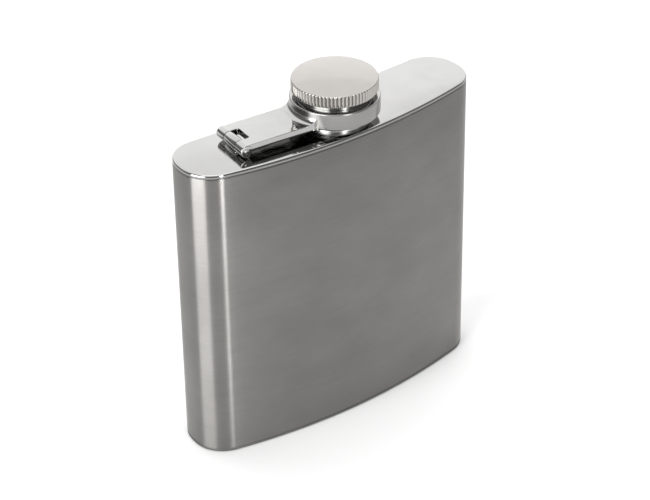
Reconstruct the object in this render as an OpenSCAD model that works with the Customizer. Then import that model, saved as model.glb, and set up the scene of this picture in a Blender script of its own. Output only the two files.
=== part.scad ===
// Hip flask with a captive screw cap.
// Frame: +Z up, standing on its base at z = 0, wide side along X, convex front towards -Y.
// Lengths are millimetres. Heights named *_z are measured from the top plate's face.

/* [Body] */
// Width across the two rounded ends
body_w = 94; // [76:1:110]
// Depth at the middle, from the convex front to the hollow back
body_d = 23.7; // [22.1:0.1:32]
// Height from the base to the top plate's face
body_h = 90.5; // [60:0.5:140]
// Radius of the convex front
front_r = 175; // [140:5:400]
// Radius of the hollow back
back_r = 648; // [300:4:1500]
// Radius of each rounded end
end_r = 20.3; // [14:0.1:24]
// How far the end's arc centre lies behind the middle of the depth
end_back = 2.1; // [0:0.1:4]
// Corner radius between the front and an end
front_corner_r = 9.6; // [6:0.1:10]
// Corner radius between the back and an end
back_corner_r = 9.1; // [6:0.1:10]
// Sheet thickness of the wrapped shell
shell_t = 0.6; // [0.4:0.1:1.2]

/* [End plates] */
// Sheet thickness of the top and base plates
plate_t = 0.8; // [0.5:0.1:1.5]
// Height of the rolled rim that shows above the shell
top_rim_h = 1.3; // [1.1:0.1:3]
// Height of the rolled rim that shows below the shell
base_rim_h = 1.1; // [0.9:0.1:3]
// Rounding of both rims
rim_r = 0.75; // [0.3:0.05:0.8]
// Depth of the flange that each plate pushes inside the shell
flange_h = 3; // [1:0.5:8]
// Gap between a flange and the shell
flange_fit = 0.02; // [0:0.01:0.1]

/* [Neck] */
// Neck axis, to the right of the body's middle
neck_x = 1.5; // [-6:0.5:6]
// Neck axis, in front of (-) or behind (+) the middle of the depth
neck_y = -0.5; // [-2:0.1:2]
// Radius of the barrel at the root of its thread
neck_r = 7.6; // [6:0.1:9.2]
// Wall thickness of the barrel
neck_t = 1.1; // [0.8:0.1:1.6]
// Height of the neck's lip
neck_z = 8.35; // [6.9:0.05:10.5]
// How far the weld flange stands out from the barrel
neck_flange_w = 2; // [1:0.1:2.5]
// Thickness of the weld flange
neck_flange_t = 0.9; // [0.5:0.1:1.4]
// Length of spigot that shows inside the flask, below the plate
spigot_h = 1.2; // [0.5:0.1:4]
// Step from the barrel out to the spigot
spigot_step = 0.3; // [0.1:0.1:0.8]
// Gap between the spigot and the hole in the plate
spigot_fit = 0.03; // [0.01:0.01:0.1]

/* [Hinge] */
// Distance from the hinge pin to the cap's axis
arm_l = 31.6; // [27:0.2:37.6]
// How far the arm is turned about the cap's axis, so that its hinge follows the body's curve
arm_turn = 4.5; // [0:0.5:8]
// Radius of the hinge pin
pin_r = 0.7; // [0.5:0.01:0.9]
// Length of pin that shows past each side of the arm
pin_proud = 0.2; // [0.1:0.05:0.5]
// Clearance between the pin and the arm's knuckles
pin_running_fit = 0.05; // [0.02:0.01:0.1]
// Clearance between the pin and the bracket's curl
pin_press_fit = 0.01; // [0:0.01:0.05]
// Wall thickness of the knuckles and of the curl
knuckle_t = 1.05; // [0.8:0.05:1.3]
// Width of each knuckle
knuckle_w = 3.65; // [2:0.05:4.5]
// Gap between the knuckles and the top plate
knuckle_gap = 0.5; // [0.3:0.05:1]
// Sheet thickness of the bracket
bracket_t = 0.7; // [0.5:0.1:1]
// Length of the bracket's welded foot, from the pin's axis
foot_l = 9; // [6:0.5:12]
// Gap between the bracket and each side of the fork
fork_gap = 0.2; // [0.15:0.05:0.5]

/* [Arm] */
// Width of the slot between the knuckles
fork_w = 5.9; // [4:0.1:7.2]
// Room between the curl and the slot's end
fork_room = 1.35; // [0.8:0.05:3]
// Thickness of the arm at its sides
arm_t = 1.85; // [1.4:0.05:2.4]
// Thickness of sheet left over the hollow under the arm
arm_skin = 0.9; // [0.6:0.1:1.2]
// Width of the arm's side walls
arm_side = 1.1; // [0.7:0.1:2]
// Radius of the fillets between the arm and its collar, seen from above
flare_r = 2; // [1:0.1:4]
// Radius of the rising fillet between the arm's top and the collar
web_r = 2; // [1:0.1:2.4]

/* [Collar] */
// Height of the collar
collar_h = 4.85; // [4.4:0.05:6]
// How much higher the collar's lower edge is than the arm's
collar_raise = 0.35; // [0:0.05:0.8]
// Thickness of the collar's wall
collar_t = 1.1; // [0.8:0.1:1.4]
// Thickness of the lip that keeps the cap in the collar
lip_t = 0.9; // [0.6:0.1:1.2]
// Width of that lip
lip_w = 0.95; // [0.8:0.05:1.4]
// Rounding of the collar's edges
collar_edge = 0.35; // [0.1:0.05:0.5]

/* [Cap] */
// Wall thickness of the insert round the cap's bore
insert_t = 1.6; // [1.2:0.1:2.2]
// Least room between the neck and the cap's bore while the arm swings with the cap on it
swing_gap = 0.32; // [0.25:0.01:0.5]
// Clearance between the insert's waist and the collar's lip
waist_gap = 0.35; // [0.2:0.05:0.5]
// Gap between the insert's lower edge and the neck's flange
insert_gap = 1.3; // [0.8:0.05:1.6]
// Gap between the collar and the head
head_gap = 1.6; // [0.8:0.05:2.2]
// How far the head stands out from the waist
head_w = 1.9; // [1.4:0.1:2.6]
// Wall thickness of the head
head_t = 0.8; // [0.5:0.1:1.2]
// Gap between the insert's flange and the head that it is pressed into
head_fit = 0.02; // [0:0.01:0.05]
// Thickness of the insert above the liner
crown_t = 2.3; // [1.6:0.1:3.5]
// Rise of the domed top above the rim
dome_h = 0.85; // [0.3:0.05:2]
// Rounding of the head's rim
head_edge = 0.35; // [0.2:0.05:0.5]
// Number of flutes round the rim
flute_count = 70; // [36:2:84]
// Radius of each flute
flute_r = 0.36; // [0.2:0.02:0.4]
// Depth of each flute
flute_depth = 0.22; // [0.1:0.02:0.3]
// Thickness of the sealing liner
liner_t = 1.2; // [0.8:0.1:1.6]
// Gap between the liner and the neck's lip
seal_gap = 0.05; // [0.03:0.01:0.1]

/* [Retaining ring] */
// Thickness of the ring
ring_t = 0.5; // [0.3:0.05:0.7]
// Gap between the ring and the collar's wall
ring_gap = 0.35; // [0.2:0.05:0.45]
// Depth of the ring's groove in the insert
groove_depth = 0.4; // [0.2:0.05:0.6]
// Clearance of the ring in its groove, on every side
groove_fit = 0.1; // [0.05:0.01:0.15]
// Height of the insert's lip below the groove
groove_lip = 0.5; // [0.3:0.05:0.8]
// Opening between the ring's two ends
ring_opening = 3; // [1:0.5:6]

/* [Hidden] */

steel = "silver";
brushed = "darkgray";
rubber = "whitesmoke";

arc_steps = 12;
corner_steps = 8;
round_steps = 4;
edge_steps = 5;
overlap = 1;
$fn = 96;

// Arc centres of the outline, for its right half; the left half is the mirror image
front_c = [0, front_r - body_d / 2];
back_c = [0, body_d / 2 + back_r];
end_c = [body_w / 2 - end_r, end_back];
front_corner_c = circles_meet(front_c, front_r - front_corner_r, end_c, end_r - front_corner_r, -1);
back_corner_c = circles_meet(back_c, back_r + back_corner_r, end_c, end_r - back_corner_r, -1);

// Heights up the hinge and the arm
knuckle_r = pin_r + knuckle_t;
pin_z = knuckle_gap + knuckle_r;
top_step = 0.05;
arm_top_z = pin_z + knuckle_r - top_step;
arm_low_z = arm_top_z - arm_t;
collar_low_z = arm_low_z + collar_raise;
collar_top_z = collar_low_z + collar_h;
lip_low_z = collar_top_z - lip_t;

// Radii outwards from the neck: the cap's bore clears the neck's lip while the arm swings
neck_bore_r = neck_r - neck_t;
neck_flange_r = neck_r + neck_flange_w;
spigot_r = neck_r + spigot_step;
thread_gap = pow(neck_z - pin_z, 2) / (2 * (arm_l + neck_r)) + swing_gap;
cap_bore_r = neck_r + thread_gap;
waist_r = cap_bore_r + insert_t;
lip_r = waist_r + waist_gap;
collar_bore_r = lip_r + lip_w;
collar_r = collar_bore_r + collar_t;
ring_r = collar_bore_r - ring_gap;
groove_r = waist_r - groove_depth;
head_r = waist_r + head_w;
head_bore_r = head_r - head_t;

// Heights up the cap
insert_low_z = neck_flange_t + insert_gap;
groove_low_z = insert_low_z + groove_lip;
groove_top_z = groove_low_z + ring_t + 2 * groove_fit;
liner_low_z = neck_z + seal_gap;
liner_top_z = liner_low_z + liner_t;
roof_z = liner_top_z + crown_t;
head_rim_z = roof_z + head_t / 2;
head_low_z = collar_top_z + head_gap;
flange_step = 0.2;
insert_flange_z = head_low_z + flange_step;

// Widths and lengths of the hinge
arm_w = fork_w + 2 * knuckle_w;
fork_l = knuckle_r + fork_room;
bracket_w = fork_w - 2 * fork_gap;

// The middle of the whole object's depth stands on y = 0
depth_low = min(-body_d / 2, neck_y - collar_r);
depth_high = back_corner_c[1] + back_corner_r;
shift_y = -(depth_low + depth_high) / 2;
axis_y = neck_y + shift_y;

function heading(v) = atan2(v[1], v[0]);
function flip_x(p) = [-p[0], p[1]];

// One of the two points at distance ra from a and rb from b; side is 1 or -1
function circles_meet(a, ra, b, rb, side) =
    let (
        gap = norm(b - a),
        ahead = (b - a) / gap,
        along = (ra * ra - rb * rb + gap * gap) / (2 * gap),
        off = sqrt(ra * ra - along * along)
    )
    a + along * ahead + side * off * [ahead[1], -ahead[0]];

// Points on an arc, from one angle to another, without the first one when skip is 1
function arc(c, r, from, to, steps, skip = 0) = [
    for (i = [skip:steps])
        let (t = from + (to - from) * i / steps)
        c + r * [cos(t), sin(t)]
];

// Right half of the body's outline, moved inwards by inset, from the front's middle to the back's
function half_outline(inset) =
    let (
        front_turn = heading(front_corner_c - front_c),
        corner_turn = heading(front_corner_c - end_c),
        end_turn = heading(back_corner_c - end_c),
        back_corner_turn = heading(back_c - back_corner_c),
        back_turn = heading(back_corner_c - back_c)
    )
    concat(
        arc(front_c, front_r - inset, -90, front_turn, arc_steps),
        arc(front_corner_c, front_corner_r - inset, front_turn, corner_turn, corner_steps, 1),
        arc(end_c, end_r - inset, corner_turn, end_turn, corner_steps, 1),
        arc(back_corner_c, back_corner_r - inset, end_turn, back_corner_turn, corner_steps, 1),
        arc(back_c, back_r + inset, back_turn, -90, arc_steps, 1)
    );

function outline(inset) =
    let (half = half_outline(inset), last = len(half) - 1)
    concat(half, [for (i = [last - 1:-1:1]) flip_x(half[i])]);

// Solid of the body's outline between two heights
module outline_solid(inset, low, high) {
    translate([0, shift_y, low])
        linear_extrude(high - low)
            polygon(outline(inset));
}

// Solid whose side is square for side_h and then rounds in by rim_r to a flat face, growing up
module rolled_solid(side_h) {
    rounding = [
        for (i = [0:round_steps])
            let (t = 90 * i / round_steps)
            [rim_r * (1 - cos(t)), side_h + rim_r * sin(t)]
    ];
    rings = concat([[0, 0]], rounding);
    points = [for (ring = rings) for (p = outline(ring[0])) [p[0], p[1], ring[1]]];
    count = len(outline(0));
    last = len(rings) - 1;
    sides = [
        for (k = [0:last - 1])
            for (i = [0:count - 1])
                let (next = (i + 1) % count)
                [k * count + i, k * count + count + i, k * count + count + next, k * count + next]
    ];
    floor_face = [for (i = [0:count - 1]) i];
    top_face = [for (i = [count - 1:-1:0]) last * count + i];
    translate([0, shift_y, 0])
        polyhedron(points, concat([floor_face, top_face], sides));
}

// Pressed plate, face up: rolled rim, flat face and a flange that hangs inside the shell
module pressed_plate(rim_h) {
    flange_inset = shell_t + flange_fit;
    difference() {
        union() {
            translate([0, 0, -rim_h])
                rolled_solid(rim_h - rim_r);
            outline_solid(flange_inset, -rim_h - flange_h, -plate_t / 2);
        }
        outline_solid(flange_inset + plate_t, -rim_h - flange_h - overlap, -plate_t);
    }
}

// Turned ring with rounded outer edges, from its radii and heights
module turned_ring(outer, inner, low, high, edge) {
    profile = concat(
        [[inner, low]],
        arc([outer - edge, low + edge], edge, -90, 0, edge_steps),
        arc([outer - edge, high - edge], edge, 0, 90, edge_steps),
        [[inner, high]]
    );
    rotate_extrude()
        polygon(profile);
}

module at_neck() {
    translate([neck_x, axis_y, body_h])
        children();
}

// From the cap's axis, along the turned arm
module at_arm() {
    at_neck()
        rotate([0, 0, -arm_turn])
            children();
}

module at_pin() {
    at_arm()
        translate([-arm_l, 0, pin_z])
            children();
}

// Cylinder across the arm, centred on the pin's axis
module cross_rod(r, width) {
    rotate([90, 0, 0])
        cylinder(r = r, h = width, center = true);
}

module body_shell() {
    color(brushed)
        difference() {
            outline_solid(0, base_rim_h, body_h - top_rim_h);
            outline_solid(shell_t, base_rim_h - overlap, body_h - top_rim_h + overlap);
        }
}

module top_plate() {
    color(steel)
        difference() {
            translate([0, 0, body_h])
                pressed_plate(top_rim_h);
            at_neck()
                translate([0, 0, -plate_t - overlap])
                    cylinder(r = spigot_r + spigot_fit, h = plate_t + 2 * overlap);
        }
}

// The same plate upside down: a mirrored copy keeps the outline's front at the front
module base_plate() {
    color(steel)
        mirror([0, 0, 1])
            pressed_plate(base_rim_h);
}

module neck() {
    color(steel)
        at_neck()
            difference() {
                union() {
                    cylinder(r = neck_flange_r, h = neck_flange_t);
                    cylinder(r = neck_r, h = neck_z);
                    translate([0, 0, -plate_t - spigot_h])
                        cylinder(r = spigot_r, h = plate_t + spigot_h + neck_flange_t / 2);
                }
                translate([0, 0, -plate_t - spigot_h - overlap])
                    cylinder(r = neck_bore_r, h = plate_t + spigot_h + neck_z + 2 * overlap);
            }
}

// Strip welded to the plate, bent up and curled round the pin
module hinge_bracket() {
    color(steel)
        at_pin()
            difference() {
                union() {
                    cross_rod(knuckle_r, bracket_w);
                    translate([-bracket_t, -bracket_w / 2, -pin_z])
                        cube([2 * bracket_t, bracket_w, pin_z]);
                    translate([-2 * bracket_t, -bracket_w / 2, -pin_z])
                        cube([foot_l + 2 * bracket_t, bracket_w, bracket_t]);
                }
                cross_rod(pin_r + pin_press_fit, bracket_w + overlap);
            }
}

module hinge_pin() {
    color(steel)
        at_pin()
            cross_rod(pin_r, arm_w + 2 * pin_proud);
}

// Outline of the arm, with its origin on the cap's axis
module arm_outline() {
    half_w = arm_w / 2;
    flare_c = [-sqrt(pow(collar_r + flare_r, 2) - pow(half_w + flare_r, 2)), half_w + flare_r];
    flare = arc(flare_c, flare_r, -90, heading(-flare_c), edge_steps);
    edge = concat([[-arm_l, half_w]], flare, [[0, half_w]]);
    polygon(concat(edge, [for (i = [len(edge) - 1:-1:0]) [edge[i][0], -edge[i][1]]]));
}

// Concave fillet that rises from the arm's top to the collar's wall
module rising_web() {
    low_r = collar_r - collar_t / 2;
    curve = arc([collar_r + web_r, arm_top_z + web_r], web_r, 180, 270, edge_steps);
    below = arm_top_z - arm_t / 2;
    profile = concat([[low_r, arm_top_z + web_r]], curve, [[collar_r + web_r, below], [low_r, below]]);
    intersection() {
        rotate_extrude()
            polygon(profile);
        translate([0, 0, below])
            linear_extrude(web_r + arm_t)
                arm_outline();
    }
}

module arm_hollow() {
    start = -arm_l + fork_l + arm_side;
    end = -collar_r - arm_side;
    width = arm_w - 2 * arm_side;
    translate([start, -width / 2, arm_low_z - overlap])
        cube([end - start, width, arm_t - arm_skin + overlap]);
}

module arm() {
    color(steel)
        at_arm()
            difference() {
                union() {
                    translate([0, 0, arm_low_z])
                        linear_extrude(arm_t)
                            arm_outline();
                    rising_web();
                    turned_ring(collar_r, collar_bore_r - collar_t / 2, collar_low_z, collar_top_z, collar_edge);
                    translate([-arm_l, 0, pin_z])
                        cross_rod(knuckle_r, arm_w);
                }
                translate([0, 0, -overlap])
                    cylinder(r = collar_bore_r, h = lip_low_z + overlap);
                cylinder(r = lip_r, h = collar_top_z + overlap);
                translate([-arm_l - knuckle_r - overlap, -fork_w / 2, 0])
                    cube([knuckle_r + overlap + fork_l, fork_w, collar_top_z]);
                translate([-arm_l, 0, pin_z])
                    cross_rod(pin_r + pin_running_fit, arm_w + overlap);
                arm_hollow();
            }
}

// Pressed cover: fluted rim, low dome and a bore that grips the insert's flange
module cap_head() {
    dome_r = (head_r * head_r + dome_h * dome_h) / (2 * dome_h);
    dome_turn = asin((head_r - head_edge) / dome_r);
    dome = arc([0, head_rim_z + dome_h - dome_r], dome_r, 90 - dome_turn, 90, arc_steps);
    profile = concat([[0, roof_z], [head_bore_r, roof_z], [head_bore_r, head_low_z]],
        [[head_r - head_edge / 2, head_low_z], [head_r, head_low_z + head_edge / 2]],
        [[head_r, head_rim_z - head_edge]], dome);
    flute_x = head_r + flute_r - flute_depth;
    color(steel)
        at_neck()
            difference() {
                rotate_extrude()
                    polygon(profile);
                for (i = [0:flute_count - 1])
                    rotate([0, 0, 360 * i / flute_count])
                        translate([flute_x, 0, head_low_z - overlap])
                            cylinder(r = flute_r, h = head_rim_z - head_low_z + 2 * overlap, $fn = 24);
            }
}

// Threaded bush: flange inside the head, waist through the collar, groove for the ring
module cap_insert() {
    color(steel)
        at_neck()
            difference() {
                union() {
                    translate([0, 0, insert_low_z])
                        cylinder(r = waist_r, h = roof_z - insert_low_z);
                    translate([0, 0, insert_flange_z])
                        cylinder(r = head_bore_r - head_fit, h = roof_z - insert_flange_z);
                }
                translate([0, 0, insert_low_z - overlap])
                    cylinder(r = cap_bore_r, h = liner_top_z - insert_low_z + overlap);
                difference() {
                    translate([0, 0, groove_low_z])
                        cylinder(r = waist_r + overlap, h = groove_top_z - groove_low_z);
                    translate([0, 0, groove_low_z - overlap])
                        cylinder(r = groove_r, h = groove_top_z - groove_low_z + 2 * overlap);
                }
            }
}

module cap_liner() {
    color(rubber)
        at_neck()
            translate([0, 0, liner_low_z])
                cylinder(r = cap_bore_r - head_fit, h = liner_t);
}

// Open spring ring in the insert's groove: it stops the cap under the collar's lip
module retaining_ring() {
    color(steel)
        at_neck()
            translate([0, 0, groove_low_z + groove_fit])
                difference() {
                    cylinder(r = ring_r, h = ring_t);
                    translate([0, 0, -overlap])
                        cylinder(r = groove_r + groove_fit, h = ring_t + 2 * overlap);
                    translate([0, -ring_opening / 2, -overlap])
                        cube([ring_r + overlap, ring_opening, ring_t + 2 * overlap]);
                }
}

body_shell();
top_plate();
base_plate();
neck();
hinge_bracket();
hinge_pin();
arm();
cap_head();
cap_insert();
cap_liner();
retaining_ring();
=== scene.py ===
"""Hip flask with a captive screw cap: its looks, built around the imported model."""

import logging
import math
from dataclasses import dataclass
from enum import Enum
from functools import cache
from typing import Callable, Sequence

import bpy
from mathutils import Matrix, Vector


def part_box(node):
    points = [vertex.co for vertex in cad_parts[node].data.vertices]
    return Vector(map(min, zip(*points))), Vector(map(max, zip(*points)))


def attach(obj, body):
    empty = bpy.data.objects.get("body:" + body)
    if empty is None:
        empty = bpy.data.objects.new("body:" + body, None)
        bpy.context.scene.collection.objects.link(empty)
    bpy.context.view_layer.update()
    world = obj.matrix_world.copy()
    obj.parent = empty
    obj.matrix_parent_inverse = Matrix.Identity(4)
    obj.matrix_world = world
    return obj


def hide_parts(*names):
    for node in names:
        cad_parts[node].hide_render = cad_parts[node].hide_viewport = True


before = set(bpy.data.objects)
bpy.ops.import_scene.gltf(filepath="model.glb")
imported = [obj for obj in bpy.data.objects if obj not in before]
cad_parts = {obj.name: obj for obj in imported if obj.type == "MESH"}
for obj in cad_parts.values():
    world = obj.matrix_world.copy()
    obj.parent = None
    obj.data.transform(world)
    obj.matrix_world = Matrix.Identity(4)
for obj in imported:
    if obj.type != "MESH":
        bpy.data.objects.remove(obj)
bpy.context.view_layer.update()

logging.basicConfig(level=logging.INFO, format="%(message)s")
log = logging.getLogger("flask")

MM = 0.001
SAME_POINT = 1e-7

Point = tuple[float, float]
Triple = tuple[float, float, float]
Piece = bpy.types.Object
Material = bpy.types.Material
Socket = bpy.types.NodeSocket


class Axis(Enum):
    """Axis that a profile is spun round."""

    Y = (0.0, 1.0, 0.0)
    Z = (0.0, 0.0, 1.0)


class Join(Enum):
    """Which boolean joins two closed meshes."""

    UNITE = "UNION"
    CUT = "DIFFERENCE"
    KEEP_COMMON = "INTERSECT"


# ---------------------------------------------------------------- modelling helpers


def enter(mode: str) -> None:
    """Switches the active object to a mode."""
    bpy.ops.object.mode_set(mode=mode)


def let_go() -> None:
    """Returns to object mode with nothing selected."""
    if bpy.context.mode != "OBJECT":
        enter("OBJECT")
    bpy.ops.object.select_all(action="DESELECT")


def work_on(piece: Piece) -> None:
    """Selects one object alone and makes it active, in object mode.

    Args:
        piece: the object to work on.
    """
    let_go()
    piece.select_set(True)
    bpy.context.view_layer.objects.active = piece


def edit_all(piece: Piece, *steps: Callable[[], object]) -> None:
    """Runs edit-mode operators on the whole of a mesh.

    Args:
        piece: the mesh object.
        steps: the operators to run, in order, with everything selected.
    """
    work_on(piece)
    enter("EDIT")
    bpy.ops.mesh.select_mode(type="VERT")
    whole()
    for step in steps:
        step()
    enter("OBJECT")


def whole() -> None:
    """Selects the whole mesh."""
    bpy.ops.mesh.select_all(action="SELECT")


def face() -> None:
    """Fills the selected loop."""
    bpy.ops.mesh.edge_face_add()


def face_out() -> None:
    """Points every selected face outwards."""
    bpy.ops.mesh.normals_make_consistent(inside=False)


def weld() -> None:
    """Merges doubled vertices and drops loose ones."""
    bpy.ops.mesh.remove_doubles(threshold=SAME_POINT)
    bpy.ops.mesh.delete_loose(use_verts=True, use_edges=True, use_faces=False)


def use_modifier(piece: Piece, kind: str, **settings: object) -> None:
    """Adds a modifier, sets it and applies it.

    Args:
        piece: the mesh object.
        kind: the modifier's type.
        settings: its properties.
    """
    work_on(piece)
    modifier = piece.modifiers.new(kind.title(), kind)
    for key, value in settings.items():
        setattr(modifier, key, value)
    bpy.ops.object.modifier_apply(modifier=modifier.name)


def combine(piece: Piece, tool: Piece, how: Join) -> None:
    """Joins, cuts or trims a closed mesh with a tool, which is removed afterwards."""
    use_modifier(piece, "BOOLEAN", object=tool, operation=how.value, solver="EXACT")
    bpy.data.objects.remove(tool)


def soften(piece: Piece, width: float, steps: int = 3, angle: float = 35) -> None:
    """Rounds the sharp edges of a mesh.

    Args:
        piece: the mesh object.
        width: width of the rounding, in metres.
        steps: segments in it.
        angle: edges sharper than this are rounded, in degrees.
    """
    use_modifier(
        piece,
        "BEVEL",
        width=width,
        segments=steps,
        limit_method="ANGLE",
        angle_limit=math.radians(angle),
        use_clamp_overlap=True,
        miter_outer="MITER_ARC",
    )


def tidy(piece: Piece, name: str, smooth_angle: float = 40) -> Piece:
    """Merges doubles, points the faces outwards, smooths the shading and names a piece.

    Args:
        piece: the mesh object.
        name: its name.
        smooth_angle: edges sharper than this stay crisp, in degrees.

    Returns:
        The same object.
    """
    edit_all(piece, weld, face_out)
    work_on(piece)
    bpy.ops.object.shade_smooth_by_angle(angle=math.radians(smooth_angle))
    piece.name = name
    piece.data.name = name
    return piece


def loop_primitive(points: Sequence[Sequence[float]]) -> Piece:
    """Adds a circle primitive and draws it out to a closed line through the points.

    Args:
        points: corners of the line, in metres.

    Returns:
        The new object, which has edges and no face.
    """
    let_go()
    bpy.ops.mesh.primitive_circle_add(vertices=len(points), radius=1, fill_type="NOTHING")
    piece = bpy.context.object
    for vertex, point in zip(piece.data.vertices, points):
        vertex.co = point
    return piece


def extruded(points: Sequence[Sequence[float]], travel: Vector) -> Piece:
    """Fills a closed flat line and extrudes it into a closed solid.

    Args:
        points: corners of the line, in metres.
        travel: how far and which way the face is pushed.

    Returns:
        The new object.
    """
    piece = loop_primitive(points)
    push = {"value": travel}
    edit_all(
        piece, face,
        lambda: bpy.ops.mesh.extrude_region_move(TRANSFORM_OT_translate=push),
        whole, face_out,
    )
    return piece


def turned(
    profile: Sequence[Point], centre: Vector, steps: int, axis: Axis = Axis.Z, angle: float = math.tau
) -> Piece:
    """Spins a closed profile of (radius, distance along the axis) points.

    Args:
        profile: corners of the profile, measured from the centre.
        centre: a point on the axis.
        steps: segments in the turn.
        axis: what it is spun round.
        angle: how far, in radians; a part turn is closed with a face at each end.

    Returns:
        The new closed mesh.
    """
    along = Vector(axis.value)
    piece = loop_primitive([centre + Vector((radius, 0, 0)) + along * far for radius, far in profile])
    if angle < math.tau:
        edit_all(piece, face)
    edit_all(
        piece,
        lambda: bpy.ops.mesh.spin(steps=steps, angle=angle, center=centre, axis=axis.value),
        whole, weld, face_out,
    )
    return piece


def turn_level(piece: Piece, centre: Vector, angle: float) -> None:
    """Turns a mesh anticlockwise, seen from above.

    Args:
        piece: the mesh object.
        centre: a point on the upright axis.
        angle: how far, in radians.
    """
    edit_all(
        piece,
        lambda: bpy.ops.transform.rotate(
            value=-angle, orient_axis="Z", center_override=centre, orient_type="GLOBAL"
        ),
    )


def rod(centre: Vector, radius: float, length: float, edge: float, steps: int = 48) -> Piece:
    """A round rod along Y with rounded ends.

    Args:
        centre: its middle.
        radius: its radius.
        length: its length.
        edge: rounding of its ends.
        steps: segments round it.

    Returns:
        The new closed mesh.
    """
    half = length / 2
    upper = arc_points((radius - edge, half - edge), edge, 0, 90, 5)
    profile = [(0, -half)] + [(r, -y) for r, y in reversed(upper)] + upper + [(0, half)]
    return turned(profile, centre, steps, Axis.Y)


def helix_rib(
    centre: Vector, root_r: float, crest_r: float, low: float, pitch: float, turns: float
) -> Piece:
    """A thread's rib: a blunt profile carried up a helix.

    Args:
        centre: a point on the axis, from which heights are measured.
        root_r: radius at the rib's foot, a little inside the wall that it stands on.
        crest_r: radius at its crest.
        low: height of its start.
        pitch: climb for one turn.
        turns: number of turns.

    Returns:
        The new closed mesh.
    """
    foot, crest = pitch * 0.36, pitch * 0.12
    piece = loop_primitive([
        (root_r, 0, low - foot), (crest_r, 0, low - crest),
        (crest_r, 0, low + crest), (root_r, 0, low + foot),
    ])
    use_modifier(
        piece, "SCREW", axis="Z", angle=math.tau * turns, screw_offset=pitch * turns,
        steps=round(64 * turns), render_steps=round(64 * turns), use_merge_vertices=False,
    )
    edit_all(
        piece,
        lambda: bpy.ops.mesh.fill_holes(sides=4),
        face_out,
        lambda: bpy.ops.transform.translate(value=centre),
    )
    return piece


def rounded_line(corners: Sequence[Triple], steps: int = 6) -> list[Point]:
    """Rounds the corners of a closed polygon.

    Args:
        corners: (x, y, radius) of each corner, in order round the polygon.
        steps: segments in each rounding.

    Returns:
        The points of the rounded polygon.
    """
    line: list[Point] = []
    count = len(corners)
    for i, (x, y, radius) in enumerate(corners):
        here = Vector((x, y))
        if radius <= 0:
            line.append((x, y))
            continue
        before = (Vector(corners[i - 1][:2]) - here).normalized()
        after = (Vector(corners[(i + 1) % count][:2]) - here).normalized()
        half = before.angle(after) / 2
        middle = here + (before + after).normalized() * (radius / math.sin(half))
        reach = radius / math.tan(half)
        start = (here + before * reach) - middle
        end = (here + after * reach) - middle
        turn = start.angle_signed(end)
        for k in range(steps + 1):
            line.append(tuple(middle + turned_vector(start, -turn * k / steps)))
    return line


def turned_vector(vector: Vector, angle: float) -> Vector:
    """Turns a flat vector anticlockwise, by radians."""
    c, s = math.cos(angle), math.sin(angle)
    return Vector((c * vector.x - s * vector.y, s * vector.x + c * vector.y))


def arc_points(centre: Point, radius: float, start: float, end: float, steps: int) -> list[Point]:
    """Points along an arc, both ends included, between two angles in degrees."""
    angles = [math.radians(start + (end - start) * i / steps) for i in range(steps + 1)]
    return [(centre[0] + radius * math.cos(t), centre[1] + radius * math.sin(t)) for t in angles]


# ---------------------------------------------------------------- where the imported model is


@dataclass(frozen=True)
class Datum:
    """Places that every piece is set from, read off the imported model.

    The arm and its hinge are built in line with X, with the pin at "pin", and are then
    turned by "arm_turn" about the neck, so that the hinge follows the body's curve.
    """

    plate_z: float
    neck: Vector
    pin: Vector
    arm_turn: float
    front_y: float

    @classmethod
    def from_frame(cls) -> "Datum":
        """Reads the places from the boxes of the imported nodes.

        Returns:
            The datum.
        """
        plate_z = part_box("top_plate")[1].z
        neck_low, neck_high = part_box("neck")
        pin_low, pin_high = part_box("hinge_pin")
        neck = (neck_low + neck_high) / 2
        neck.z = plate_z
        reach = (pin_low + pin_high) / 2 - neck
        straight = Vector((-math.hypot(reach.x, reach.y), 0, reach.z))
        return cls(
            plate_z=plate_z,
            neck=neck,
            pin=neck + straight,
            arm_turn=math.atan2(-reach.y, -reach.x),
            front_y=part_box("body_shell")[0].y,
        )


# ---------------------------------------------------------------- finishes


class Graph:
    """Short way to build a node tree."""

    def __init__(self, tree: bpy.types.NodeTree) -> None:
        """Takes the tree to build in, and empties it."""
        self.tree = tree
        tree.nodes.clear()

    def link(self, source: Socket, target: Socket) -> None:
        """Joins two sockets."""
        self.tree.links.new(source, target)

    def add(self, kind: str, **settings: object) -> bpy.types.Node:
        """Adds a node and sets its properties.

        Args:
            kind: the node's type.
            settings: properties by name.

        Returns:
            The node.
        """
        node = self.tree.nodes.new(kind)
        for key, value in settings.items():
            setattr(node, key, value)
        return node

    def ramp(self, value: Socket, start: Point, end: Point, **settings: object) -> Socket:
        """Maps one range of a value onto another.

        Args:
            value: the value.
            start: where the range starts, and the result there.
            end: where the range ends, and the result there.
            settings: properties of the node by name.

        Returns:
            The mapped value.
        """
        node = self.add("ShaderNodeMapRange", **settings)
        for place, (come_from, go_to) in zip(("Min", "Max"), (start, end)):
            node.inputs[f"From {place}"].default_value = come_from
            node.inputs[f"To {place}"].default_value = go_to
        self.link(value, node.inputs["Value"])
        return node.outputs["Result"]

    def math(self, kind: str, first: object, second: object) -> Socket:
        """Adds, multiplies or otherwise joins two values.

        Args:
            kind: the operation.
            first: a socket or a number.
            second: a socket or a number.

        Returns:
            The result.
        """
        node = self.add("ShaderNodeMath", operation=kind)
        for socket, value in zip(node.inputs, (first, second)):
            if isinstance(value, Socket):
                self.link(value, socket)
            else:
                socket.default_value = value
        return node.outputs["Value"]


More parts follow.
